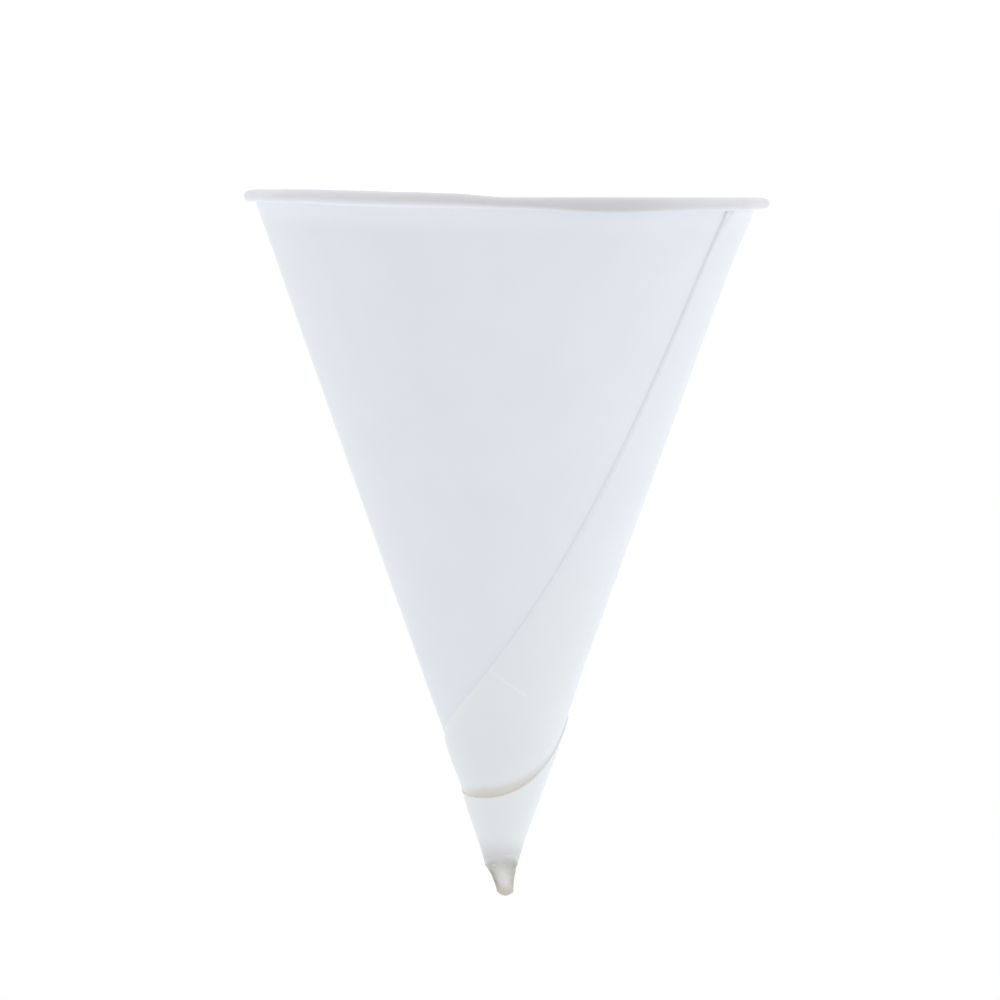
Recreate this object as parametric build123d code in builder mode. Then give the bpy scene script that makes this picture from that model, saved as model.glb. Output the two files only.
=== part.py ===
from build123d import *
import os
from math import acos, atan, cos, floor, pi, radians, sin, sqrt, tan

# A cone paper cup, wound from one flat paper blank and standing on its rolled rim.
# Z is the cone's axis. The mouth is at Z = 0 and the crimped tip is at the top.
# The front is -Y. Lengths are in millimetres and angles in degrees. A flat angle is
# one on the blank, about the point where the cone's apex comes to lie.

# Driving sizes of the cup
rim_diameter = 73.0          # outside of the rolled rim
apex_height = 98.2           # from the crown of the rim to where the wall would run out to a point
paper = 0.3                  # one ply of paper
ply_pitch = 0.38             # from one ply to the next, with the air wound in between

# Rolled rim, whose round is made up of short flat sides, so that it stands on one of them
roll_diameter = 2.1          # section of the roll, across its flats
round_sides = 10             # sides in a whole round
open_sides = 1               # of these, left open where the curl stops short of the wall
bore_sides = 5               # sides of the hollow inside the curl

# Edges of the blank
seam_place = 62.6            # where the seam meets the rim, round from the front
seam_offset = 20.8           # how near the seam's edge comes to the apex
seam_hollow = 1736.0         # radius to which that edge is cut hollow
lap = 24.0                   # lap of the two edges at the rim
inner_offset = 6.0           # how near the edge inside the cup comes to the apex

# Tail, which is wound round the tip last and stays loose along its upper edge
tail_turn = 74.6             # flat angle from the seam's foot to the tail's lowest place
tail_reach = 15.8            # how near the tail's edge comes to the apex there
tail_rise = 30.0             # how fast the edge climbs to its corner
tail_power = 2.5
tail_sag = 14.0              # how fast it climbs on the other side
tail_sag_turn = 22           # flat angle from the lowest place to where it turns down
tail_run = 78                # and to where it ends beside the crimp
tail_end_width = 1.0         # width that is left of it there
loose_depth = 3.0            # how deep the edge is loose
loose_share = 0.3            # at most, as a share of the ply's width there
edge_lift = 0.3              # how far the edge stands off
corner_lift = 0.6            # how far the corner stands off
corner_span = 0.25           # share of the tail over which that dies away

# Cavity and crimped tip
cavity_stop = 9.0            # slant distance from the apex at which the cavity ends
wind_stop = 4.6              # slant distance at which the winding goes into the crimp
crimp_length = 4.33          # from the end of the winding to the end of the tip
crimp_width = 4.3            # across the crimp where it leaves the winding
crimp_end_width = 2.2        # across its end
crimp_flatness = 0.74        # its thickness, as a share of its width
crimp_shift = 0.68           # how far the end leans to one side
crimp_shares = (-0.16, 0, 0.2, 0.45, 0.7, 0.88, 0.95, 1)
root_taper = 1.6             # how fast its root narrows inside the winding
fold_count = 5               # folds pressed into the crimp
fold_depth = 0.09            # their depth, as a share of the radius
end_round = 0.5              # height of the rounded end
end_share = 0.62             # width of the very end, as a share of what it is above the round

# Overlaps of the shapes that are joined or trimmed
plug_inset = 0.1             # of the crushed paper under the crimp
trim_reach = 2.0             # of a trimming shape past the paper
trim_turn = 1.2              # flat angle that it runs on for

# Spacing of the upright sections that guide the lofts
section_gap = 9.0            # at most, along a slanting edge
section_turn = 5.5           # flat angle between two sections, at most
ear_count = 8
tail_count = 24

# Sizes that follow
roll_height = roll_diameter / 2
roll_radius = roll_height / cos(pi / round_sides)
bore_radius = roll_radius - paper
roll_place = rim_diameter / 2 - roll_radius
curl_sides = round_sides - open_sides
curl_sweep = 2 * pi * curl_sides / round_sides
mouth_level = 0.65 * ply_pitch + paper
seated = ply_pitch + 0.4 * paper
lap_seat = 1.2 * (ply_pitch - paper)
ply_stop = wind_stop + 0.25
half_angle = atan((roll_place - roll_radius + mouth_level) / (apex_height - roll_height))
full_turn = 2 * pi * sin(half_angle)
rim_slant = (apex_height - roll_height) / cos(half_angle)


def height_at(slant):
    """Height of a slant distance from the apex."""
    return apex_height - slant * cos(half_angle)


def seam_swing(slant):
    """Flat angle from the foot of the seam's edge to its point at a slant distance."""
    centre = seam_offset + seam_hollow
    return acos((slant**2 + centre**2 - seam_hollow**2) / (2 * slant * centre))


def seam_slant(flat_angle):
    """Slant distance of the seam's edge at a flat angle."""
    centre = seam_offset + seam_hollow
    swing = flat_angle - seam_foot
    return centre * cos(swing) - sqrt(seam_hollow**2 - (centre * sin(swing)) ** 2)


# Flat angles of the feet, where the edges come nearest to the apex
seam_at_rim = radians(seam_place) * sin(half_angle)
seam_foot = seam_at_rim - seam_swing(rim_slant)
lap_angle = seam_at_rim + full_turn + lap / rim_slant
inner_foot = lap_angle + acos(inner_offset / rim_slant)
tail_foot = seam_foot - radians(tail_turn)
tail_end = tail_foot - radians(tail_run)


def tail_slant(flat_angle):
    """Slant distance of the tail's free edge at a flat angle."""
    swing = flat_angle - tail_foot
    if swing > 0:
        return tail_reach + tail_rise * swing**tail_power
    if swing > -radians(tail_sag_turn):
        return tail_reach + tail_sag * swing**2
    start = tail_reach + tail_sag * radians(tail_sag_turn) ** 2
    share = (-swing - radians(tail_sag_turn)) / radians(tail_run - tail_sag_turn)
    return start + (wind_stop + tail_end_width - start) * share


def corner_angle():
    """Flat angle at which the tail's edge meets the seam's, by halving."""
    low = tail_foot
    high = seam_foot
    for step in range(40):
        middle = (low + high) / 2
        if tail_slant(middle) < seam_slant(middle):
            low = middle
        else:
            high = middle
    return low


def ply_radius(flat_angle, slant, off):
    """Radius of the wound paper's outside, which falls by half a pitch in each half turn."""
    halves = (flat_angle - seam_at_rim) / (full_turn / 2)
    done = floor(halves)
    fallen = done + (1 - cos(pi * (halves - done))) / 2
    return slant * sin(half_angle) - ply_pitch / 2 * fallen + off


def outwards(flat_angle):
    """Level direction that points outwards at a flat angle."""
    turned = flat_angle / sin(half_angle)
    return Vector(-sin(turned), -cos(turned), 0)


def upright_plane(flat_angle, origin=(0, 0, 0)):
    """Upright plane at a flat angle, with X outwards and Y up."""
    away = outwards(flat_angle)
    return Plane(origin=origin, x_dir=away, z_dir=(away.Y, -away.X, 0))


def half_turn_axis(half):
    """Axis of one half turn of the paper: a quarter of the pitch off centre, by turns."""
    centre = outwards(seam_at_rim) * (ply_pitch / 4 * (-1) ** half)
    return Axis(origin=centre, direction=(0, 0, -1))


def half_turn_profile(half, off, thickness):
    """Section of the paper's half turn, measured from that axis."""
    start = seam_at_rim + full_turn / 2 * half
    points = ply_profile(start, rim_slant, off, thickness)
    return [(radius - ply_pitch / 4, height) for radius, height in points]


def ply_profile(flat_angle, edge_slant, off, thickness):
    """Upright section of one ply, from the crimp to its edge."""
    profile = []
    for slant, depth in ((ply_stop, 0), (edge_slant, 0), (edge_slant, thickness), (ply_stop, thickness)):
        profile.append((ply_radius(flat_angle, slant, off - depth), height_at(slant)))
    return profile


def trim_profile(flat_angle, edge_slant):
    """Upright section of what is trimmed off beyond an edge of the paper."""
    profile = []
    far = rim_slant + trim_reach
    for slant, way in ((edge_slant, 1), (far, 1), (far, -1), (edge_slant, -1)):
        profile.append((slant * sin(half_angle) + trim_reach * way, height_at(slant)))
    return profile


def loose_profile(flat_angle, edge_slant, lift):
    """Outside and inside of the outermost ply: foot, bend, middle and loose edge."""
    outside = []
    inside = []
    freed = min(1, lift / edge_lift)
    loose = min(loose_depth, loose_share * (edge_slant - wind_stop))
    bend = edge_slant - loose
    for slant, share in ((ply_stop, 0), (bend, 0), (bend + loose / 2, 0.5), (edge_slant, 1)):
        off = lift * share**2
        thickness = seated + (paper - seated) * share**2 * freed
        outside.append((ply_radius(flat_angle, slant, off), height_at(slant)))
        inside.append((ply_radius(flat_angle, slant, off - thickness), height_at(slant)))
    return outside, inside


def section_angles(start, stop, steepness):
    """Flat angles of upright sections, closer where an edge runs steeply along the slant."""
    angles = [start]
    way = 1 if stop > start else -1
    while (stop - angles[-1]) * way > 0:
        rate = sqrt(1 / radians(section_turn) ** 2 + (steepness(angles[-1]) / section_gap) ** 2)
        angles.append(angles[-1] + way / rate)
    share = (stop - start) / (angles[-1] - start)
    return [start + (angle - start) * share for angle in angles]


def seam_steepness(flat_angle):
    """Slant distance that the seam's edge covers for each radian in the flat."""
    return seam_slant(flat_angle) * abs(tan(flat_angle - seam_foot))


def inner_slant(flat_angle):
    """Slant distance of the edge inside the cup."""
    if flat_angle < lap_angle:
        return rim_slant
    return inner_offset / cos(flat_angle - inner_foot)


def inner_steepness(flat_angle):
    """Slant distance that the inner edge covers for each radian in the flat."""
    return inner_slant(flat_angle) * abs(tan(flat_angle - inner_foot))


def crimp_outline(share):
    """Outline of the crimp at a share of its length, and its height. A share under 0 is its root."""
    along = max(share, 0)
    height = height_at(wind_stop) + crimp_length * share
    half_width = (crimp_width + (crimp_end_width - crimp_width) * sqrt(along)) / 2
    half_width *= 1 + root_taper * min(share, 0)
    below_end = crimp_length * (1 - share)
    if below_end < end_round:
        half_width *= end_share + (1 - end_share) * sqrt(max(below_end, 0) / end_round)
    outline = []
    for i in range(4 * fold_count):
        angle = 2 * pi * i / (4 * fold_count)
        fold = 1 + fold_depth * sqrt(along) * cos(fold_count * angle)
        x = half_width * fold * cos(angle) - crimp_shift * along
        y = half_width * crimp_flatness ** sqrt(along) * fold * sin(angle)
        outline.append((x, y))
    return outline, height


def curl_point(radius, share):
    """Point on the roll's section at a share of its curl."""
    angle = pi + curl_sweep * share
    return (roll_place + radius * cos(angle), roll_height + radius * sin(angle))


# Full turn of the wall, from the seam at the rim round to under the seam
with BuildPart() as wall_turn:
    for half in (0, 1):
        axis = half_turn_axis(half)
        with BuildSketch(upright_plane(seam_at_rim + full_turn / 2 * half, axis.position)):
            with BuildLine():
                Polyline(*half_turn_profile(half, 0, paper), close=True)
            make_face()
        revolve(axis=axis, revolution_arc=180)

# Lap inside the cup, trimmed to the slanting inner edge
with BuildPart() as inner_trim:
    for flat_angle in section_angles(lap_angle, lap_angle + full_turn / 2, inner_steepness):
        with BuildSketch(upright_plane(flat_angle)):
            with BuildLine():
                Polyline(*trim_profile(flat_angle, inner_slant(flat_angle)), close=True)
            make_face()
    loft()
with BuildPart() as inner_lap:
    axis = half_turn_axis(2)
    with BuildSketch(upright_plane(seam_at_rim + full_turn, axis.position)):
        with BuildLine():
            Polyline(*half_turn_profile(2, lap_seat, paper + lap_seat), close=True)
        make_face()
    revolve(axis=axis, revolution_arc=180)
    add(inner_trim.part, mode=Mode.SUBTRACT)

# Outermost ply, trimmed to the seam, which slants down from the rim
ear_start = seam_at_rim - full_turn / 2
with BuildPart() as seam_trim:
    for flat_angle in section_angles(seam_at_rim, ear_start - radians(trim_turn), seam_steepness):
        with BuildSketch(upright_plane(flat_angle)):
            with BuildLine():
                Polyline(*trim_profile(flat_angle, seam_slant(flat_angle)), close=True)
            make_face()
    loft()
with BuildPart() as outer_ply:
    axis = half_turn_axis(-1)
    with BuildSketch(upright_plane(ear_start, axis.position)):
        with BuildLine():
            Polyline(*half_turn_profile(-1, 0, seated), close=True)
        make_face()
    revolve(axis=axis, revolution_arc=180)
    add(seam_trim.part, mode=Mode.SUBTRACT)

# Tail: the ear up to its loose corner, and the long edge round the front
corner = corner_angle()
with BuildPart() as tail:
    for i in range(ear_count + 1):
        flat_angle = ear_start + (corner - ear_start) * i / ear_count
        lift = corner_lift * (i / ear_count) ** 2
        outside, inside = loose_profile(flat_angle, seam_slant(flat_angle), lift)
        with BuildSketch(upright_plane(flat_angle)):
            with BuildLine():
                Line(outside[0], outside[1])
                Spline(*outside[1:])
                Line(outside[-1], inside[-1])
                Spline(*reversed(inside[1:]))
                Line(inside[1], inside[0])
                Line(inside[0], outside[0])
            make_face()
    loft()
    for i in range(tail_count + 1):
        share = i / tail_count
        flat_angle = corner + (tail_end - corner) * share
        corner_share = max(0, 1 - share / corner_span)
        lift = (corner_lift - edge_lift) * corner_share**2 + edge_lift * (1 - share)
        outside, inside = loose_profile(flat_angle, tail_slant(flat_angle), lift)
        with BuildSketch(upright_plane(flat_angle)):
            with BuildLine():
                Line(outside[0], outside[1])
                Spline(*outside[1:])
                Line(outside[-1], inside[-1])
                Spline(*reversed(inside[1:]))
                Line(inside[1], inside[0])
                Line(inside[0], outside[0])
            make_face()
    loft()

# Crimp that closes the tip, pinched flat with folds and leaning to one side
with BuildPart() as crimp:
    for slant in (cavity_stop, wind_stop + plug_inset):
        with BuildSketch(Plane.XY.offset(height_at(slant))):
            Circle(ply_radius(seam_at_rim + full_turn, slant, -plug_inset))
    loft()
    for share in crimp_shares:
        outline, height = crimp_outline(share)
        with BuildSketch(Plane.XY.offset(height)):
            with BuildLine():
                Polyline(*outline, close=True)
            make_face()
    loft(ruled=True)


# Rolled rim: the paper curls over the crown and back to the wall, with a hollow inside
with BuildPart() as roll:
    with BuildSketch(Plane.XZ):
        with BuildLine():
            curl = [curl_point(roll_radius, i / curl_sides) for i in range(curl_sides + 1)]
            bore = [curl_point(bore_radius, i / bore_sides) for i in range(bore_sides + 1)]
            Polyline(*curl, *reversed(bore), close=True)
        make_face()
    revolve(axis=Axis.Z)

# The cup
with BuildPart() as cone_cup:
    add(wall_turn.part)
    add(inner_lap.part)
    add(outer_ply.part)
    add(tail.part)
    add(crimp.part)
    add(roll.part)
cone_cup.part.label = "cone_cup"

os.makedirs("parts", exist_ok=True)
export_step(cone_cup.part, "parts/cone_cup.step")
print(cone_cup.part.bounding_box())
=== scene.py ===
from math import acos, atan, cos, pi, radians, sin, sqrt

import bmesh
import bpy
import numpy as np
from mathutils import Euler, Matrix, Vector, noise


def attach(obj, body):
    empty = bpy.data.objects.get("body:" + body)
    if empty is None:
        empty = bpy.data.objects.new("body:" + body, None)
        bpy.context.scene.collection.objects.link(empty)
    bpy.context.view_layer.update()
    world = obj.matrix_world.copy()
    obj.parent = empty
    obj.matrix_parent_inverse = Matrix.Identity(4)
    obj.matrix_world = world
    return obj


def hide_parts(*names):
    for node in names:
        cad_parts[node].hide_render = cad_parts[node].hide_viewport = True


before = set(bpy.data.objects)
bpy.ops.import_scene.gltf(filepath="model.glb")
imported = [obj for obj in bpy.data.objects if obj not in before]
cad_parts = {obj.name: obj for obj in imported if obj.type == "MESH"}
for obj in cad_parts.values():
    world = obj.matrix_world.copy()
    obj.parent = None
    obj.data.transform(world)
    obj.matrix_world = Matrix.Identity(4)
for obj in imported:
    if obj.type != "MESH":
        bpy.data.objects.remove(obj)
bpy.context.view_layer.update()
mm = 0.001


def linear(hexColor):
    # sRGB hex to the linear colour that a socket wants
    parts = [int(hexColor[i:i + 2], 16) / 255 for i in (1, 3, 5)]
    return [p / 12.92 if p <= 0.04045 else ((p + 0.055) / 1.055) ** 2.4 for p in parts] + [1]


def addNode(tree, kind, inputs=None, **settings):
    # adds one node, sets it up and links or fills its inputs
    node = tree.nodes.new(kind)
    for name, value in settings.items():
        setattr(node, name, value)
    for key, value in (inputs or {}).items():
        if isinstance(value, bpy.types.NodeSocket):
            tree.links.new(value, node.inputs[key])
        else:
            node.inputs[key].default_value = value
    return node


def newMaterial(name):
    material = bpy.data.materials.new(name)
    material.use_nodes = True
    material.node_tree.nodes.clear()
    return material, material.node_tree


# Camera: level with the rim and turned over, so that the picture has the tip at the bottom
view = {
    "distance": 800,      # mm from the cup's axis
    "eyeHeight": 1.7,     # mm over the plane that the rim stands on
    "aimHeight": 43.1,
    "aimSide": 0.29,      # mm, towards the picture's left
    "lens": 206.9,        # mm
    "sensor": 36,         # mm
    "lean": 0.312,        # degrees that the cup leans in the picture
}


def placeCamera(v):
    camera = bpy.data.objects.new("camera", bpy.data.cameras.new("camera"))
    bpy.context.collection.objects.link(camera)
    camera.data.lens = v["lens"]
    camera.data.sensor_width = v["sensor"]
    camera.data.clip_start = 0.01
    camera.location = Vector((v["aimSide"], -v["distance"], v["eyeHeight"])) * mm
    pitch = atan((v["aimHeight"] - v["eyeHeight"]) / v["distance"])
    look = Euler((pi / 2 + pitch, 0, 0)).to_quaternion()
    roll = Euler((0, 0, pi + radians(v["lean"]))).to_quaternion()
    camera.rotation_mode = "QUATERNION"
    camera.rotation_quaternion = look @ roll
    bpy.context.scene.camera = camera


placeCamera(view)
bpy.context.scene.view_settings.view_transform = "Standard"
print("camera placed")


# Paper, bleached kraft with a thin wax coat: cool white, soft, slightly sheeny, faint cloudy fibre
paperLook = {
    "onePly": "#E9ECF1",
    "twoPlies": "#E9ECED",         # where plies lie on each other near the tip the white is a little greener
    "threePlies": "#EAEDEE",
    "plyFade": (55, 28),           # mm from the apex, over which that comes in
    "secondFrom": (-0.02, 0.02),   # turns of the winding at which the second ply starts
    "thirdFrom": (0.9, 1.0),       # and the third
    "crown": "#D0CED1",            # painted shade on the roll: violet-grey on its crown
    "underRoll": "#D4D2D0",        # and warmer where it turns under
    "underFrom": (2.6, 3.6),       # radians round the roll at which it does
    "gapShade": "#DBD6D3",         # brownish in the gap along the tail's edge
    "gapFade": (1.0, 0.35),        # shares of the gap's width, over which that comes in
    "seamShade": 0.025,            # the ply beneath is darker along the seam
    "seamSoft": 1.0,               # mm
    "tipShade": 0.22,              # the paper is greyer beside the crimp
    "tipFade": (9.4, 5.2),         # mm from the apex
    "creaseLight": 0.04,           # a faint crease below the seam
    "creaseWidth": 0.3,            # mm
    "creaseEnds": (1.0, 0.7),      # shares of its half length, over which it comes in
    "cloudSize": 9,                # mm, the faint clouds of the paper's formation
    "cloudSpan": (0.3, 0.7),       # part of the noise that makes them
    "cloudDepth": 0.02,
    "fibreSize": 0.35,             # mm, drawn coarser than real fibres so that it shows
    "fibreHeight": 0.004,          # mm
    "roughness": 0.55,
    "specular": 0.25,
}


def readPaper(tree, look, place):
    # what the blank's points know, and shares of it that come in over a span
    read = {}
    for name in ("turns", "slant", "curl", "rollShade", "rimLight", "pastSeam", "gapPlace", "gapDark",
                 "creaseSide", "creaseAlong"):
        read[name] = addNode(tree, "ShaderNodeAttribute", attribute_name=name).outputs["Fac"]
    for name in ("creaseSide", "creaseAlong"):
        read[name] = addNode(tree, "ShaderNodeMath", {0: read[name]}, operation="ABSOLUTE").outputs[0]
    read["cloud"] = addNode(tree, "ShaderNodeTexNoise", {
        "Vector": place, "Scale": 1 / (look["cloudSize"] * mm), "Detail": 3.0, "Roughness": 0.55}).outputs[0]
    spans = {
        "second": ("turns", look["secondFrom"], 1, (0, 1), "LINEAR"),
        "third": ("turns", look["thirdFrom"], 1, (0, 1), "LINEAR"),
        "low": ("slant", look["plyFade"], mm, (0, 1), "LINEAR"),
        "under": ("curl", look["underFrom"], 1, (0, 1), "LINEAR"),
        "gap": ("gapPlace", look["gapFade"], 1, (0, 1), "SMOOTHSTEP"),
        "clouds": ("cloud", look["cloudSpan"], 1, (1 - look["cloudDepth"], 1), "LINEAR"),
        "seam": ("pastSeam", (0, look["seamSoft"]), mm, (1 - look["seamShade"], 1), "LINEAR"),
        "tip": ("slant", look["tipFade"], mm, (1, 1 - look["tipShade"]), "SMOOTHSTEP"),
        "line": ("creaseSide", (look["creaseWidth"], 0), mm, (0, 1), "LINEAR"),
        "within": ("creaseAlong", look["creaseEnds"], 1, (0, 1), "LINEAR"),
    }
    for name, (source, span, unit, ends, kind) in spans.items():
        read[name] = addNode(tree, "ShaderNodeMapRange", {
            "Value": read[source], "From Min": span[0] * unit, "From Max": span[1] * unit,
            "To Min": ends[0], "To Max": ends[1]}, interpolation_type=kind).outputs[0]
    return read


def makePaper(look):
    material, tree = newMaterial("bleachedKraftPaper")
    place = addNode(tree, "ShaderNodeTexCoord").outputs["Object"]
    read = readPaper(tree, look, place)

    # colour by the plies, and painted shade on the roll and in the gap along the tail
    second = addNode(tree, "ShaderNodeMath", {0: read["second"], 1: read["low"]},
                     operation="MULTIPLY").outputs[0]
    gap = addNode(tree, "ShaderNodeMath", {0: read["gap"], 1: read["gapDark"]},
                  operation="MULTIPLY").outputs[0]
    rolled = addNode(tree, "ShaderNodeMix", {
        "Factor": read["under"], 6: linear(look["crown"]), 7: linear(look["underRoll"])},
        data_type="RGBA").outputs[2]
    tint = linear(look["onePly"])
    for factor, over in ((second, linear(look["twoPlies"])), (read["third"], linear(look["threePlies"])),
                         (read["rollShade"], rolled), (gap, linear(look["gapShade"]))):
        tint = addNode(tree, "ShaderNodeMix", {"Factor": factor, 6: tint, 7: over},
                       data_type="RGBA").outputs[2]

    # light and shade of the clouds, the seam, the crimp, the rim and the crease
    rimLit = addNode(tree, "ShaderNodeMath", {0: read["rimLight"], 1: 1.0}).outputs[0]
    line = addNode(tree, "ShaderNodeMath", {0: read["line"], 1: read["within"]},
                   operation="MULTIPLY").outputs[0]
    crease = addNode(tree, "ShaderNodeMath", {0: line, 1: look["creaseLight"], 2: 1.0},
                     operation="MULTIPLY_ADD").outputs[0]
    shade = read["clouds"]
    for factor in (read["seam"], read["tip"], rimLit, crease):
        shade = addNode(tree, "ShaderNodeMath", {0: shade, 1: factor}, operation="MULTIPLY").outputs[0]
    tint = addNode(tree, "ShaderNodeVectorMath", {0: tint, "Scale": shade}, operation="SCALE").outputs[0]

    fibre = addNode(tree, "ShaderNodeTexNoise", {
        "Vector": place, "Scale": 1 / (look["fibreSize"] * mm), "Detail": 4.0, "Roughness": 0.6}).outputs[0]
    bump = addNode(tree, "ShaderNodeBump", {
        "Height": fibre, "Distance": look["fibreHeight"] * mm, "Strength": 1.0}).outputs[0]
    shader = addNode(tree, "ShaderNodeBsdfPrincipled", {
        "Base Color": tint, "Roughness": look["roughness"], "Normal": bump,
        "Specular IOR Level": look["specular"]}).outputs[0]
    addNode(tree, "ShaderNodeOutputMaterial", {"Surface": shader})
    return material


# Cut edge of the paper: no wax on it, raw fibre, a touch of cream
cutLook = {
    "color": "#E9E2D6",
    "grainSize": 0.25,    # mm
    "grainDepth": 0.06,
    "roughness": 0.9,
    "specular": 0.1,
}


def makeCutEdge(look):
    material, tree = newMaterial("rawPaperEdge")
    place = addNode(tree, "ShaderNodeTexCoord").outputs["Object"]
    grain = addNode(tree, "ShaderNodeTexNoise", {
        "Vector": place, "Scale": 1 / (look["grainSize"] * mm), "Detail": 2.0}).outputs[0]
    shade = addNode(tree, "ShaderNodeMapRange", {
        "Value": grain, "To Min": 1 - look["grainDepth"], "To Max": 1.0}).outputs[0]
    tint = addNode(tree, "ShaderNodeVectorMath", {0: linear(look["color"])[:3], "Scale": shade},
                   operation="SCALE").outputs[0]
    shader = addNode(tree, "ShaderNodeBsdfPrincipled", {
        "Base Color": tint, "Roughness": look["roughness"],
        "Specular IOR Level": look["specular"]}).outputs[0]
    addNode(tree, "ShaderNodeOutputMaterial", {"Surface": shader})
    return material


paperMaterial = makePaper(paperLook)
cutMaterial = makeCutEdge(cutLook)
print("paper and its cut edge mixed")


# The blank that is wound into the cone. Angles in degrees and lengths in mm, where nothing else is said
blank = {
    "apexHeight": 98.4, "halfAngle": 19.735,
    "wallEnd": 1.05,                         # height at which the wall ends and the roll starts, on average
    "paper": 0.3, "plyPitch": 0.38,          # its thickness, and how far the wall falls in each turn
    # the seam is an arc of a circle: degrees round the cup at the rim, how near it comes to the apex at its
    # foot, its radius, and the radians each way from the foot that it is worked out for
    "seamPlace": 62.6, "seamOffset": 21.8, "seamHollow": 750, "seamReach": 1.32,
    # the inner edge is straight: how far it laps past the seam at the rim, how near it would pass the apex,
    # and the flat angle at which the blank ends
    "lap": 24, "innerOffset": 6.0, "innerEnd": 203,
    "nestTurn": 3,                           # flat angle over which one roll goes into the other at the lap
    "slack": 0.02,                           # radians that the corners at the rim reach past their places
    # the tail's edge has its foot so many degrees on from the seam's, and at this slant. From there it rises
    # to its corner as a power of the angle, the other way as its square, and then runs straight to its end
    "tailTurn": 83.0, "tailReach": 15.0, "tailRise": 19.1, "tailPower": 2.82,
    "tailSag": 7, "tailSagTurn": 26, "tailRun": 65, "tailEndWidth": 1.0,
    "rawEnd": -104,                          # the tail's edge is raw up to here, and its corner is waxed down
    "windStop": 4.6,                         # distance from the apex at which the winding stops
    # the seam's edge is pressed down, up to a depth: more and more from a flat angle on, over so many degrees
    "press": 0.3, "pressDepth": 2.4, "pressFrom": -75, "pressOver": 25,
    # the tail's edge is loose, up to a depth and no more than a share of its width. By flat angles along it:
    # how far it stands off or is pressed down, how wide the shade beside it is, and how dark that is
    "looseDepth": 3.5, "looseShare": 0.35,
    "looseAt": (-201, -156, -144, -139, -130, -110, -98, -93, -88),
    "lift": (-0.1, -0.22, -0.16, -0.1, -0.07, -0.08, -0.15, -0.15, 0.02),
    "gap": (0.5, 1.2, 1.6, 1.8, 2.2, 2.3, 2.0, 1.8, 1.6),
    "gapDark": (0.0, 0.1, 0.3, 0.65, 1.0, 0.7, 0.25, 0.0, 0.0),
    "liftEnd": -58, "liftOver": 34,          # past the last of them the lift fades out over these
    "swell": 0.2, "swellFrom": 9,            # the tip swells near the crimp,
    # and bends, over these slants: on the picture's left and right
    "bend": (0.2, 0.33), "bendFrom": (21, 38), "bendTo": (14, 22),
    # bulge under the rim on the picture's right: size, height of its middle and reach from there
    "flare": 0.45, "flareHeight": 4, "flareReach": 8,
    "crease": ((-3.0, 34.8), (7.4, 30.4)),   # flat angle and slant of its two ends
    "wobble": 0.25, "wobbleSize": 26, "seed": 4,   # the wall isn't quite round: how much, and how far apart
    "wallRows": 42, "edgeRows": 28,
    "edgeBand": 7.6, "bandShare": 0.45,      # paper that the edge rows cover, and the most as a share of all
    "columnTurn": 1.0, "columnClimb": 1.5,   # flat angle and slant between two columns, at most
    "closer": 0.8, "closest": 2e-4,          # steps in which columns draw together, down to this in radians
    "sharp": 50,                             # edges with a greater angle stay sharp
}

# The rolled rim, by degrees round from the front, towards the picture's right
rim = {
    "place": (-180, -165, -130, -111, -90, -69, -50, -34, -22, -9, -4, 0, 23, 50, 75, 90, 105, 157, 180),
    # height of its crown, its size across, upright and level, and how much painted shade it gets
    "crown": (1.0, 0.62, 0.2, 0.1, 0.15, 0.02, 0.02, 0.17, 0.33, 0.5, 0.82, 0.95, 0.87, 0.8, 0.76, 0.78,
              0.8, 0.95, 1.0),
    "height": (1.9, 1.9, 1.7, 1.6, 1.55, 1.8, 1.95, 2.1, 2.1, 2.0, 1.7, 1.65, 2.1, 1.95, 1.75, 1.6, 1.6, 1.8,
               1.9),
    "width": (2.3, 2.2, 1.9, 1.7, 1.55, 1.75, 1.9, 2.0, 2.1, 2.2, 2.3, 2.3, 2.4, 2.5, 2.6, 2.65, 2.6, 2.4,
              2.3),
    "shade": (0.7, 0.7, 0.6, 0.5, 0.35, 0.38, 0.55, 0.65, 0.75, 0.86, 0.88, 0.9, 1.0, 0.6, 0.45, 0.4, 0.4,
              0.6, 0.7),
    # where round the roll the painted shade ends, in radians, and how much painted light the wall beside it
    # gets
    "greyEnd": (2.8, 2.8, 2.8, 2.8, 2.7, 2.6, 2.6, 2.6, 2.6, 2.65, 2.75, 2.8, 3.4, 2.9, 2.9, 2.9, 2.8, 2.8,
                2.8),
    "lit": (0.15, 0.15, 0.15, 0.15, 0.16, 0.2, 0.22, 0.25, 0.27, 0.22, 0.17, 0.16, 0.14, 0.12, 0.11, 0.11,
            0.13, 0.15, 0.15),
    "greyFrom": 0.8, "greyFade": (1.5, 0.9),      # radians round the roll: start of the painted shade and its fades
    "litWall": 3.5, "litCurl": 0.3,               # mm of wall and radians of curl that the light fades over
    "litUnder": 0.65, "litUnderFrom": 0.4,        # painted light under the roll, and radians past the end of the painted shade
    "sweep": 380,                                 # degrees that the paper is curled
    "tighten": 0.33,                              # how much the curl draws in over a whole turn
    # a curl with a first radius of 1 is so high and wide, sinks so far below the wall's end, and its paper
    # is this share of its radius times its angle
    "curlHeight": 1.707, "curlWidth": 1.794, "curlDrop": 0.597, "curlPaper": 0.84,
}


def smooth(share):
    share = min(1, max(0, share))
    return share * share * (3 - 2 * share)


def roundTable(places, values, place):
    # smooth curve through a table of values round the cup
    place = (place + 180) % 360 - 180
    i = max(k for k in range(len(places) - 1) if places[k] <= place)
    share = smooth((place - places[i]) / (places[i + 1] - places[i]))
    return values[i] + (values[i + 1] - values[i]) * share


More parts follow.
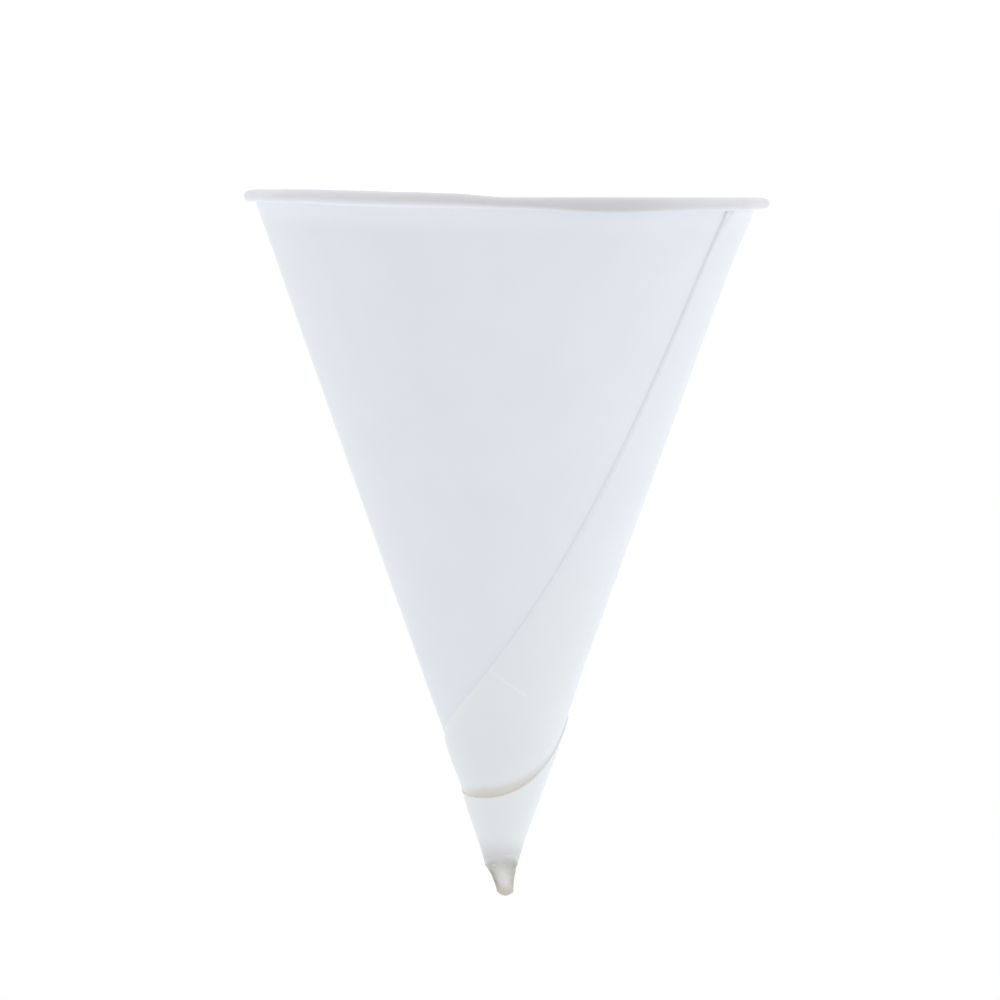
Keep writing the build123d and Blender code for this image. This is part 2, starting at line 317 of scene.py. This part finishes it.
def blankEdges(b):
    # works out the blank's outline: flat angles in radians, slants in mm
    half = radians(b["halfAngle"])
    fullTurn = 2 * pi * sin(half)
    rimSlant = (b["apexHeight"] - b["wallEnd"]) / cos(half)
    centre = b["seamOffset"] + b["seamHollow"]
    seamAtRim = radians(b["seamPlace"]) * sin(half)
    seamFoot = seamAtRim - acos((rimSlant**2 + centre**2 - b["seamHollow"]**2) / (2 * rimSlant * centre))
    lapAngle = seamAtRim + fullTurn + b["lap"] / rimSlant
    innerFoot = lapAngle + acos(b["innerOffset"] / rimSlant)
    tailFoot = seamFoot - radians(b["tailTurn"])
    tailEnd = tailFoot - radians(b["tailRun"])
    nestTurn = radians(b["nestTurn"])

    def seamSlant(angle):
        swing = min(b["seamReach"], max(-b["seamReach"], angle - seamFoot))
        return centre * cos(swing) - sqrt(b["seamHollow"]**2 - (centre * sin(swing))**2)

    def tailSlant(angle):
        swing = angle - tailFoot
        if swing > 0:
            return b["tailReach"] + b["tailRise"] * swing**b["tailPower"]
        sag = radians(b["tailSagTurn"])
        if swing > -sag:
            return b["tailReach"] + b["tailSag"] * swing**2
        start = b["tailReach"] + b["tailSag"] * sag**2
        share = (-swing - sag) / (radians(b["tailRun"]) - sag)
        return start + (b["windStop"] + b["tailEndWidth"] - start) * share

    def innerSlant(angle):
        return b["innerOffset"] / cos(angle - innerFoot)

    def place(angle):
        return (np.degrees(angle) / sin(half) + 180) % 360 - 180

    def rimAt(angle):
        # slant of the wall's end, half height and half width of the roll, and its length of paper
        spot = place(angle)
        halfHeight = roundTable(rim["place"], rim["height"], spot) / rim["curlHeight"]
        halfWidth = roundTable(rim["place"], rim["width"], spot) / rim["curlWidth"]
        end = roundTable(rim["place"], rim["crown"], spot) + rim["curlDrop"] * halfHeight
        if angle < lapAngle - fullTurn + nestTurn:
            # in the lap the outer ply curls inside the other one
            nest = b["plyPitch"] * smooth((lapAngle - fullTurn + nestTurn - angle) / nestTurn)
            halfHeight, halfWidth, end = halfHeight - nest, halfWidth - nest, end + nest * sin(half)
        length = (halfHeight + halfWidth) / 2 * rim["curlPaper"] * radians(rim["sweep"])
        return (b["apexHeight"] - end) / cos(half), halfHeight, halfWidth, length

    def edge(angle):
        # slant of the blank's outer edge, the paper of the roll included
        end, halfHeight, halfWidth, length = rimAt(angle)
        full = end + length
        if angle > lapAngle - b["slack"]:
            return min(full, innerSlant(angle))
        if angle > seamAtRim - b["slack"]:
            return min(full, seamSlant(angle))
        if angle > seamFoot:
            return seamSlant(angle)
        return min(seamSlant(angle), tailSlant(angle)) if angle > tailFoot else tailSlant(angle)

    def pastEdges(angle, slant):
        # how far a point lies past the seam of the ply over it, past its tail as a share of the shade there,
        # and how dark that is
        over = angle - fullTurn
        far = 50
        if over < tailEnd or over > seamAtRim + b["slack"]:
            return far, far, 0
        if over > tailFoot and seamSlant(over) < tailSlant(over):
            x, y = slant * cos(over - seamFoot), slant * sin(over - seamFoot)
            return b["seamHollow"] - sqrt((x - centre)**2 + y**2), far, 0
        wide, dark = (np.interp(np.degrees(over), b["looseAt"], b[key]) for key in ("gap", "gapDark"))
        return far, (slant - tailSlant(over)) / wide, dark

    def tipOff(slant, spot):
        # swelling and bend of the tip
        swell = b["swell"] * (max(0, b["swellFrom"] - slant) / (b["swellFrom"] - b["windStop"]))**2
        bend, start, stop = (np.interp(sin(spot), (-1, 1), b[key]) for key in ("bend", "bendFrom", "bendTo"))
        return swell + bend * smooth((start - slant) / (start - stop)) * sin(spot)

    return dict(half=half, fullTurn=fullTurn, seamAtRim=seamAtRim, tailEnd=tailEnd, edge=edge, rimAt=rimAt,
                place=place, pastEdges=pastEdges, tipOff=tipOff)


def columnAngles(b, e):
    # flat angles of the sheet's columns, closer together where its edge climbs
    angles = [e["tailEnd"]]
    while angles[-1] < radians(b["innerEnd"]):
        step = radians(b["columnTurn"])
        here = e["edge"](angles[-1])
        while abs(e["edge"](angles[-1] + step) - here) > b["columnClimb"] and step > b["closest"]:
            step *= b["closer"]
        angles.append(angles[-1] + step)
    return angles


# what each point of the sheet knows, with the scale to Blender's units
sheetScales = {
    "flatAngle": 1, "slant": mm, "curl": 1, "lift": mm, "rollHeight": mm, "rollWidth": mm, "turns": 1,
    "rollShade": 1, "rimLight": 1, "pastSeam": mm, "gapPlace": 1, "gapDark": 1, "creaseSide": mm,
    "creaseAlong": 1,
}


def sheetTable(b, e, angles):
    # the values of sheetScales at each column and row of the sheet
    rows = b["wallRows"] + b["edgeRows"] + 1
    start, stop = (Vector((cos(radians(angle)), sin(radians(angle)))) * slant for angle, slant in b["crease"])
    creaseHalf = (stop - start).length / 2
    creaseWay = (stop - start).normalized()
    table = []
    for angle in angles:
        degrees = np.degrees(angle)
        place = e["place"](angle)
        spot = radians(place)
        end, halfHeight, halfWidth, length = e["rimAt"](angle)
        top = e["edge"](angle)
        fromTip = top - b["windStop"]
        hasRoll = top >= end + length - 0.01
        band = min(length if hasRoll else b["edgeBand"], b["bandShare"] * fromTip)
        loose = min(b["looseDepth"], b["looseShare"] * fromTip)
        # painted shade on the roll, and painted light on the wall beside it and under the roll
        grey, greyEnd, lit = (roundTable(rim["place"], rim[key], place)
                              for key in ("shade", "greyEnd", "lit"))
        lift = np.interp(degrees, b["looseAt"], b["lift"])
        if degrees > b["looseAt"][-1]:
            lift *= max(0, (radians(b["liftEnd"]) - angle) / radians(b["liftOver"])) ** 2
        pressed = b["press"] * min(1, max(0, (angle - radians(b["pressFrom"])) / radians(b["pressOver"])))
        turns = (e["seamAtRim"] - angle) / e["fullTurn"]
        for row in range(rows):
            if row <= b["wallRows"]:
                slant = b["windStop"] + (top - band - b["windStop"]) * row / b["wallRows"]
            else:
                slant = top - band + band * (row - b["wallRows"]) / b["edgeRows"]
            curl = max(0, slant - end) / length * radians(rim["sweep"])
            slant = min(slant, end)
            height = b["apexHeight"] - slant * cos(e["half"])
            off = lift * max(0, (slant - top + loose) / loose) ** 2
            if curl == 0:
                off -= pressed * max(0, (slant - top + b["pressDepth"]) / b["pressDepth"]) ** 2
            off += e["tipOff"](slant, spot)
            flared = max(0, 1 - abs(height - b["flareHeight"]) / b["flareReach"]) ** 2
            off += b["flare"] * max(0, sin(spot)) ** 4 * flared
            # painted shade round the roll
            rollShade = grey * smooth((curl - rim["greyFrom"]) / rim["greyFade"][0])
            rollShade *= 1 - smooth((curl - greyEnd) / rim["greyFade"][1])
            wallLight = max(0, 1 - (end - slant) / rim["litWall"]) * max(0, 1 - curl / rim["litCurl"])
            underLight = rim["litUnder"] * smooth(curl - greyEnd - rim["litUnderFrom"])
            rimLight = lit * max(wallLight, underLight)
            pastSeam, gapPlace, gapDark = e["pastEdges"](angle, slant)
            flat = Vector((cos(angle), sin(angle))) * slant - start
            creaseAlong = (flat.dot(creaseWay) - creaseHalf) / creaseHalf
            creaseSide = flat.x * creaseWay.y - flat.y * creaseWay.x
            table.append((angle, slant, curl, off, halfHeight, halfWidth, turns, rollShade, rimLight,
                          pastSeam, gapPlace, gapDark, creaseSide, creaseAlong))
    return np.array(table).reshape(len(angles), rows, len(sheetScales))


def makeBlank(b):
    # flat sheet with two faces and closed edges; the winding reads its attributes
    e = blankEdges(b)
    sheet = sheetTable(b, e, columnAngles(b, e))
    columns, rows, values = sheet.shape
    layer = columns * rows
    outer = np.arange(layer).reshape(columns, rows)
    inner = outer + layer
    ring = ([(i, 0) for i in range(columns)] + [(columns - 1, j) for j in range(1, rows)]
            + [(i, rows - 1) for i in range(columns - 2, -1, -1)] + [(0, j) for j in range(rows - 2, 0, -1)])
    middle = np.arange(len(ring)) + 2 * layer
    faces = []
    for i in range(columns - 1):
        for j in range(rows - 1):
            faces.append((outer[i, j], outer[i, j + 1], outer[i + 1, j + 1], outer[i + 1, j]))
            faces.append((inner[i, j], inner[i + 1, j], inner[i + 1, j + 1], inner[i, j + 1]))
    sheetFaces = len(faces)
    for k in range(len(ring)):
        a, c = ring[k], ring[(k + 1) % len(ring)]
        m, n = middle[k], middle[(k + 1) % len(ring)]
        faces.append((outer[a], outer[c], n, m))
        faces.append((m, n, inner[c], inner[a]))
    points = sheet.reshape(-1, values)
    edgePoints = np.array([sheet[a] for a in ring])
    table = np.vstack([points, points, edgePoints])
    depth = np.concatenate([np.zeros(layer), np.ones(layer), np.full(len(ring), 0.5)])
    places = np.column_stack([table[:, 0], table[:, 1] * mm, -depth * mm])
    mesh = bpy.data.meshes.new("woundCup")
    mesh.from_pydata(places.tolist(), [], [tuple(int(v) for v in face) for face in faces])
    for (name, scale), value in zip(sheetScales.items(), table.T):
        mesh.attributes.new(name, "FLOAT", "POINT").data.foreach_set("value", value * scale)
    mesh.attributes.new("depth", "FLOAT", "POINT").data.foreach_set("value", depth)
    # raw edges are creamy, but the seam's is waxed down and as white as the face
    raw = (edgePoints[:, 0] < radians(b["rawEnd"])) | (edgePoints[:, 0] > e["seamAtRim"] + b["slack"])
    cut = np.zeros(len(faces), dtype=bool)
    cut[sheetFaces:] = np.repeat(raw, 2)
    mesh.attributes.new("cutEdge", "BOOLEAN", "FACE").data.foreach_set("value", cut)
    print("blank cut out:", columns, "columns,", len(faces), "faces")
    return mesh, e


def makeWindingTree(paper, cutEdge):
    # Geometry Nodes: winds the flat blank on a cone and curls what is past the rim
    tree = bpy.data.node_groups.new("windOnCone", "GeometryNodeTree")
    tree.interface.new_socket("Geometry", in_out="INPUT", socket_type="NodeSocketGeometry")
    tree.interface.new_socket("Geometry", in_out="OUTPUT", socket_type="NodeSocketGeometry")
    sockets = {}
    for name in ("Half angle", "Apex height", "Ply pitch", "Paper", "Curl tightening", "Wobble",
                 "Wobble size", "Seed"):
        kind = "NodeSocketInt" if name == "Seed" else "NodeSocketFloat"
        sockets[name] = tree.interface.new_socket(name, in_out="INPUT", socket_type=kind).identifier
    given = addNode(tree, "NodeGroupInput").outputs
    read = {}
    for name in ("flatAngle", "slant", "curl", "lift", "rollHeight", "rollWidth", "turns", "depth"):
        read[name] = addNode(tree, "GeometryNodeInputNamedAttribute", {"Name": name},
                             data_type="FLOAT").outputs[0]

    sine = addNode(tree, "ShaderNodeMath", {0: given["Half angle"]}, operation="SINE").outputs[0]
    cosine = addNode(tree, "ShaderNodeMath", {0: given["Half angle"]}, operation="COSINE").outputs[0]
    turned = addNode(tree, "ShaderNodeMath", {0: read["flatAngle"], 1: sine}, operation="DIVIDE").outputs[0]
    turnSine = addNode(tree, "ShaderNodeMath", {0: turned}, operation="SINE").outputs[0]
    turnCosine = addNode(tree, "ShaderNodeMath", {0: turned}, operation="COSINE").outputs[0]

    # wobble of the wall, the same for every ply that lies at a place
    reach = addNode(tree, "ShaderNodeMath", {0: read["slant"], 1: sine}, operation="MULTIPLY").outputs[0]
    spotX = addNode(tree, "ShaderNodeMath", {0: reach, 1: turnSine}, operation="MULTIPLY").outputs[0]
    spotY = addNode(tree, "ShaderNodeMath", {0: reach, 1: turnCosine}, operation="MULTIPLY").outputs[0]
    spot = addNode(tree, "ShaderNodeCombineXYZ", {0: spotX, 1: spotY, 2: read["slant"]}).outputs[0]
    finer = addNode(tree, "ShaderNodeMath", {0: 1.0, 1: given["Wobble size"]}, operation="DIVIDE").outputs[0]
    bumps = addNode(tree, "ShaderNodeTexNoise", {
        "Vector": spot, "W": given["Seed"], "Scale": finer, "Detail": 1.0}, noise_dimensions="4D").outputs[0]
    bumps = addNode(tree, "ShaderNodeMath", {0: bumps, 1: 0.5}, operation="SUBTRACT").outputs[0]
    wobble = addNode(tree, "ShaderNodeMath", {0: bumps, 1: given["Wobble"]}, operation="MULTIPLY").outputs[0]

    # inner face of the wall: it falls by the ply pitch in each turn
    level = addNode(tree, "ShaderNodeMath", {0: read["turns"], 1: given["Ply pitch"], 2: read["lift"]},
                    operation="MULTIPLY_ADD").outputs[0]
    level = addNode(tree, "ShaderNodeMath", {0: level, 1: wobble}, operation="ADD").outputs[0]
    level = addNode(tree, "ShaderNodeMath", {0: level, 1: given["Paper"]}, operation="SUBTRACT").outputs[0]
    wall = addNode(tree, "ShaderNodeMath", {0: reach, 1: level}, operation="ADD").outputs[0]
    fall = addNode(tree, "ShaderNodeMath", {0: read["slant"], 1: cosine}, operation="MULTIPLY").outputs[0]
    height = addNode(tree, "ShaderNodeMath", {0: given["Apex height"], 1: fall},
                     operation="SUBTRACT").outputs[0]

    # the curl, which starts in line with the wall and draws in as it goes round
    share = addNode(tree, "ShaderNodeMath", {0: read["curl"], 1: 2 * pi}, operation="DIVIDE").outputs[0]
    drawn = addNode(tree, "ShaderNodeMath", {0: share, 1: given["Curl tightening"]},
                    operation="MULTIPLY").outputs[0]
    shrink = addNode(tree, "ShaderNodeMath", {0: 1.0, 1: drawn}, operation="SUBTRACT").outputs[0]
    outness = addNode(tree, "ShaderNodeMath", {0: 1.0, 1: read["depth"]}, operation="SUBTRACT").outputs[0]
    within = addNode(tree, "ShaderNodeMath", {0: outness, 1: given["Paper"]}, operation="MULTIPLY").outputs[0]
    angle = addNode(tree, "ShaderNodeMath", {0: read["curl"], 1: given["Half angle"]},
                    operation="ADD").outputs[0]
    curlSine = addNode(tree, "ShaderNodeMath", {0: angle}, operation="SINE").outputs[0]
    curlCosine = addNode(tree, "ShaderNodeMath", {0: angle}, operation="COSINE").outputs[0]
    places = []
    for half, start, swing, base in ((read["rollWidth"], cosine, curlCosine, wall),
                                     (read["rollHeight"], sine, curlSine, height)):
        middle = addNode(tree, "ShaderNodeMath", {0: half, 1: start, 2: base},
                         operation="MULTIPLY_ADD").outputs[0]
        arm = addNode(tree, "ShaderNodeMath", {0: half, 1: shrink}, operation="MULTIPLY").outputs[0]
        arm = addNode(tree, "ShaderNodeMath", {0: arm, 1: within}, operation="SUBTRACT").outputs[0]
        arm = addNode(tree, "ShaderNodeMath", {0: arm, 1: swing}, operation="MULTIPLY").outputs[0]
        places.append(addNode(tree, "ShaderNodeMath", {0: middle, 1: arm}, operation="SUBTRACT").outputs[0])
    radius, height = places

    around = []
    for turn in (turnSine, turnCosine):
        across = addNode(tree, "ShaderNodeMath", {0: radius, 1: turn}, operation="MULTIPLY").outputs[0]
        around.append(addNode(tree, "ShaderNodeMath", {0: across, 1: -1.0}, operation="MULTIPLY").outputs[0])
    place = addNode(tree, "ShaderNodeCombineXYZ", {0: around[0], 1: around[1], 2: height}).outputs[0]
    wound = addNode(tree, "GeometryNodeSetPosition", {
        "Geometry": given["Geometry"], "Position": place}).outputs[0]
    rounded = addNode(tree, "GeometryNodeSetShadeSmooth", {"Geometry": wound}).outputs[0]
    real = addNode(tree, "GeometryNodeRealizeInstances", {"Geometry": rounded}).outputs[0]
    cut = addNode(tree, "GeometryNodeInputNamedAttribute", {"Name": "cutEdge"},
                  data_type="BOOLEAN").outputs[0]
    coated = addNode(tree, "GeometryNodeSetMaterial", {"Geometry": real, "Material": paper}).outputs[0]
    raw = addNode(tree, "GeometryNodeSetMaterial", {
        "Geometry": coated, "Selection": cut, "Material": cutEdge}).outputs[0]
    addNode(tree, "NodeGroupOutput", {0: raw})
    return tree, sockets


def windCup(b):
    flat, e = makeBlank(b)
    flat.materials.append(paperMaterial)
    flat.materials.append(cutMaterial)
    sheet = bpy.data.objects.new("woundCup", flat)
    bpy.context.collection.objects.link(sheet)
    tree, sockets = makeWindingTree(paperMaterial, cutMaterial)
    winding = sheet.modifiers.new("winding", "NODES")
    winding.node_group = tree
    values = {"Half angle": e["half"], "Apex height": b["apexHeight"] * mm, "Ply pitch": b["plyPitch"] * mm,
              "Paper": b["paper"] * mm, "Curl tightening": rim["tighten"], "Wobble": b["wobble"] * mm,
              "Wobble size": b["wobbleSize"] * mm, "Seed": b["seed"]}
    for name, value in values.items():
        winding[sockets[name]] = value
    bpy.context.view_layer.update()
    wound = bpy.data.meshes.new_from_object(sheet.evaluated_get(bpy.context.evaluated_depsgraph_get()))
    sheet.modifiers.clear()
    sheet.data = wound
    bm = bmesh.new()
    bm.from_mesh(wound)
    for edge in bm.edges:
        if len(edge.link_faces) == 2 and edge.calc_face_angle() > radians(b["sharp"]):
            edge.smooth = False
    bm.to_mesh(wound)
    bm.free()
    print("cup wound:", len(wound.polygons), "faces, materials", [m.name for m in wound.materials])
    return sheet


cup = windCup(blank)
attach(cup, "root")
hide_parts("cone_cup")


# Crimped tip: paper crushed and twisted together, duller than the wall, with painted shade in its creases and
# at its root, tan at its end
tip = {
    "height": (93.8, 94.2, 95.05, 95.65, 96.35, 97.2, 97.95, 98.15, 98.35, 98.48),    # mm
    "halfWidth": (2.29, 2.2, 1.91, 1.69, 1.49, 1.32, 1.21, 1.01, 0.7, 0.35),
    "shift": (0.09, 0.1, 0.3, 0.41, 0.52, 0.64, 0.71, 0.73, 0.74, 0.75),   # towards the picture's right
    "flatness": (1.0, 1.0, 0.95, 0.9, 0.84, 0.78, 0.76, 0.76, 0.76, 0.76),
    "root": 91.6,              # height at which it starts inside the winding
    "leave": (94.05, 94.75),   # heights between which it leaves the form of the winding
    "blend": (-12, -6, 0, 6, 12),   # degrees either side, over which the steps of its plies are evened out
    "arch": 93.95,             # height at its sides of the line where it comes out of the winding
    "archRise": (1.45, 0.8),   # how far that line is drawn back in front and behind
    "archTurn": 20,            # degrees from the front to the middle of the arch
    "lip": 0.07,               # mm that it stands over the winding past that line,
    "lipOver": 0.4,            # mm along the tip over which it comes up to that,
    "lipSink": 5,              # and how many times as deep it lies at most before the line, out of sight
    # creases: degrees round from the front, width in degrees, depth in mm and darkness of the painted shade
    # in them
    "creases": ((-78, 36, 0.13, 1.0), (66, 36, 0.05, 0.78), (14, 8, 0.05, 0.1), (-20, 8, 0.04, 0.1),
                (135, 16, 0.16, 0.8), (178, 12, 0.12, 0.7), (-128, 14, 0.14, 0.8)),
    "creaseFrom": -0.3, "creaseOver": 1.6,               # mm past the arch, over which they deepen
    "widen": 0.4, "widenFrom": 94.9, "widenOver": 1.3,   # wider by a share up to a height, fading past it
    "twist": 16,               # degrees that the creases turn along the tip
    # painted shade at the root, most on the picture's left. It starts with a share at the arch, is full so
    # many mm past it, and fades out over so many mm from a height on
    "rootShadeSide": 0.6, "rootShadeFoot": 0.7, "rootShadeOver": 1.2, "rootShadeEnd": 93.9, "rootShadeFade": 0.9,
    "crumple": 0.06, "crumpleFineness": 1.2,   # mm deep, and dents for each mm
    "domed": 0.03, "endDark": 0.6,             # mm that the end is domed, and how dark the painted shade in its middle is
    "around": 144, "along": 78,
}
crushLook = {
    "color": "#E8E7E3",
    "root": "#C1C3C2",     # painted shade where it comes out of the winding
    "shade": "#A3A19B",    # painted shade in the creases
    "end": "#CBC5B8",
    "endFrom": 96.4,       # mm of height, over which the tan comes in
    "endTo": 98.0,
    "stainSize": 10 / 9,   # mm, spots where more and less of the wax is rubbed off
    "stainDepth": 0.35,    # how far they darken it,
    "stainLevel": 0.16,    # and what is taken off that all over
    "grainSize": 2 / 3,    # mm, crushed fibre
    "grainHeight": 0.05,
    "grainStrength": 0.6,
    "roughness": 0.6,
    "specular": 0.25,
}


def makeCrush(look):
    material, tree = newMaterial("crushedPaper")
    place = addNode(tree, "ShaderNodeTexCoord").outputs["Object"]
    # painted shade in the creases
    creaseShade = addNode(tree, "ShaderNodeAttribute", attribute_name="creaseShade").outputs["Fac"]
    # painted shade at the root
    rootShade = addNode(tree, "ShaderNodeAttribute", attribute_name="rootShade").outputs["Fac"]
    height = addNode(tree, "ShaderNodeSeparateXYZ", {0: place}).outputs["Z"]
    low = addNode(tree, "ShaderNodeMapRange", {
        "Value": height, "From Min": look["endFrom"] * mm, "From Max": look["endTo"] * mm}).outputs[0]
    stain = addNode(tree, "ShaderNodeTexNoise", {
        "Vector": place, "Scale": 1 / (look["stainSize"] * mm), "Detail": 2.0}).outputs[0]
    # stains where wax is rubbed off, and painted shade in the creases
    stainAndCreaseShade = addNode(tree, "ShaderNodeMath", {0: stain, 1: look["stainDepth"], 2: creaseShade},
                   operation="MULTIPLY_ADD").outputs[0]
    stainAndCreaseShade = addNode(tree, "ShaderNodeMath", {0: stainAndCreaseShade, 1: look["stainLevel"]}, operation="SUBTRACT",
                   use_clamp=True).outputs[0]
    tint = linear(look["color"])
    for factor, over in ((rootShade, "root"), (stainAndCreaseShade, "shade"), (low, "end")):
        tint = addNode(tree, "ShaderNodeMix", {"Factor": factor, 6: tint, 7: linear(look[over])},
                       data_type="RGBA").outputs[2]
    grain = addNode(tree, "ShaderNodeTexNoise", {
        "Vector": place, "Scale": 1 / (look["grainSize"] * mm), "Detail": 3.0}).outputs[0]
    bump = addNode(tree, "ShaderNodeBump", {
        "Height": grain, "Distance": look["grainHeight"] * mm, "Strength": look["grainStrength"]}).outputs[0]
    shader = addNode(tree, "ShaderNodeBsdfPrincipled", {
        "Base Color": tint, "Roughness": look["roughness"], "Normal": bump,
        "Specular IOR Level": look["specular"]}).outputs[0]
    addNode(tree, "ShaderNodeOutputMaterial", {"Surface": shader})
    return material


def woundRadius(t, b, e, spot, z):
    # outside of the winding near the tip, in a direction and at a height
    slant = (b["apexHeight"] - z) / cos(e["half"])
    radius = 0
    for nearby in t["blend"]:
        angle = ((spot + radians(nearby) + pi) % (2 * pi) - pi) * sin(e["half"])
        while angle - e["fullTurn"] >= e["tailEnd"]:
            angle -= e["fullTurn"]
        radius += b["plyPitch"] * (e["seamAtRim"] - angle) / e["fullTurn"] / len(t["blend"])
    return radius + slant * sin(e["half"]) + e["tipOff"](slant, spot)


def crimpPoint(t, b, e, spot, z):
    # a point of the tip in mm, with the painted shade in its creases and at its root
    half, shift, flat = (np.interp(z, t["height"], t[key]) for key in ("halfWidth", "shift", "flatness"))
    free = smooth((z - t["leave"][0]) / (t["leave"][1] - t["leave"][0]))
    turned = cos(spot - radians(t["archTurn"]))
    drawn = t["archRise"][0] * max(0, turned)**1.5 + t["archRise"][1] * max(0, -turned)**1.5
    out = z - (t["arch"] - drawn)
    wound = woundRadius(t, b, e, spot, z) + t["lip"] * max(-t["lipSink"], min(1, out / t["lipOver"]))
    oval = half * flat / sqrt((flat * sin(spot))**2 + cos(spot)**2)
    radius = wound * (1 - free) + oval * free
    dark = 0
    creased = smooth((out - t["creaseFrom"]) / t["creaseOver"])
    widened = 1 + t["widen"] - t["widen"] * smooth((z - t["widenFrom"]) / t["widenOver"])
    twisted = t["twist"] * (z - t["arch"]) / (t["height"][-1] - t["arch"])
    # the creases are dented in and get painted shade
    for place, width, depth, darkness in t["creases"]:
        away = (np.degrees(spot) - place - twisted + 180) % 360 - 180
        dip = creased * np.exp(-(away / width / widened)**2)
        radius -= depth * dip
        dark = max(dark, darkness * dip)
    point = Vector((-radius * sin(spot) - shift * free, -radius * cos(spot), z))
    crumple = t["crumple"] * noise.noise(point * t["crumpleFineness"]) * smooth(out)
    # painted shade at the root, most on the picture's left
    rootShade = t["rootShadeSide"] * (1 - sin(spot))
    rootShade *= t["rootShadeFoot"] + (1 - t["rootShadeFoot"]) * smooth(out / t["rootShadeOver"])
    rootShade *= 1 - smooth((z - t["rootShadeEnd"]) / t["rootShadeFade"])
    return point + Vector((-sin(spot), -cos(spot), 0)) * crumple, min(1, dark), rootShade


def makeTip(t, b):
    e = blankEdges(b)
    mesh = bpy.data.meshes.new("crimpedTip")
    bm = bmesh.new()
    # painted shade in the creases
    creaseShade = bm.verts.layers.float.new("creaseShade")
    # painted shade at the root
    rootShade = bm.verts.layers.float.new("rootShade")
    rings = []
    low, high = t["root"], t["height"][-1]
    for i in range(t["along"] + 1):
        z = low + (high - low) * i / t["along"]
        ring = []
        for j in range(t["around"]):
            point, dark, rootShaded = crimpPoint(t, b, e, 2 * pi * j / t["around"] - pi, z)
            vert = bm.verts.new(point * mm)
            vert[creaseShade] = dark
            vert[rootShade] = rootShaded
            ring.append(vert)
        rings.append(ring)
    for a, c in zip(rings, rings[1:]):
        for j in range(t["around"]):
            k = (j + 1) % t["around"]
            bm.faces.new((a[j], a[k], c[k], c[j]))
    for ring, way in ((rings[0], -1), (rings[-1], 1)):
        middle = sum((v.co for v in ring), Vector()) / len(ring)
        hub = bm.verts.new(middle + Vector((0, 0, t["domed"] * mm * way)))
        hub[creaseShade] = t["endDark"]
        for j in range(t["around"]):
            k = (j + 1) % t["around"]
            bm.faces.new((ring[j], ring[k], hub) if way > 0 else (ring[k], ring[j], hub))
    bmesh.ops.recalc_face_normals(bm, faces=bm.faces)
    for face in bm.faces:
        face.smooth = True
    bm.to_mesh(mesh)
    bm.free()
    mesh.materials.append(makeCrush(crushLook))
    piece = bpy.data.objects.new("crimpedTip", mesh)
    bpy.context.collection.objects.link(piece)
    print("tip crimped:", len(mesh.polygons), "faces")
    return piece


crimp = makeTip(tip, blank)
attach(crimp, "root")
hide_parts("cone_cup")


# Floor and light: pale sweep lit evenly all round, less from the camera's side and a little more from the
# picture's right
studio = {
    "floorSize": 3.0,      # m, from the middle to a side
    "floorTone": 0.15,     # the sweep glows, so that it stays plain white under the cup
    "floorGlow": 0.9,
    "floorRoughness": 0.9,
    "light": 1.02,
    "fromBehind": 0.31,
    "fromLeft": -0.1,      # the picture's left, so that its right gets more
    "tint": "#FBFDFF",
}


def makeStudio(s):
    material, tree = newMaterial("paleSweep")
    shader = addNode(tree, "ShaderNodeBsdfPrincipled", {
        "Base Color": (s["floorTone"], s["floorTone"], s["floorTone"], 1), "Roughness": s["floorRoughness"],
        "Emission Color": (1, 1, 1, 1), "Emission Strength": s["floorGlow"]}).outputs[0]
    addNode(tree, "ShaderNodeOutputMaterial", {"Surface": shader})
    bm = bmesh.new()
    bmesh.ops.create_grid(bm, x_segments=1, y_segments=1, size=s["floorSize"])
    mesh = bpy.data.meshes.new("floor")
    bm.to_mesh(mesh)
    bm.free()
    mesh.materials.append(material)
    floor = bpy.data.objects.new("floor", mesh)
    bpy.context.collection.objects.link(floor)
    world = bpy.data.worlds.new("studio")
    bpy.context.scene.world = world
    world.use_nodes = True
    tree = world.node_tree
    tree.nodes.clear()
    way = addNode(tree, "ShaderNodeTexCoord").outputs["Generated"]
    sided = addNode(tree, "ShaderNodeVectorMath", {0: way, 1: (s["fromLeft"], s["fromBehind"], 0)},
                    operation="DOT_PRODUCT").outputs["Value"]
    share = addNode(tree, "ShaderNodeMath", {0: sided, 1: s["light"]}).outputs[0]
    direct = addNode(tree, "ShaderNodeLightPath").outputs["Is Camera Ray"]
    lit = addNode(tree, "ShaderNodeBackground", {"Color": linear(s["tint"]), "Strength": share}).outputs[0]
    seen = addNode(tree, "ShaderNodeBackground", {"Color": (1, 1, 1, 1), "Strength": 1.0}).outputs[0]
    both = addNode(tree, "ShaderNodeMixShader", {0: direct, 1: lit, 2: seen}).outputs[0]
    addNode(tree, "ShaderNodeOutputWorld", {"Surface": both})
    print("studio lit")


makeStudio(studio)
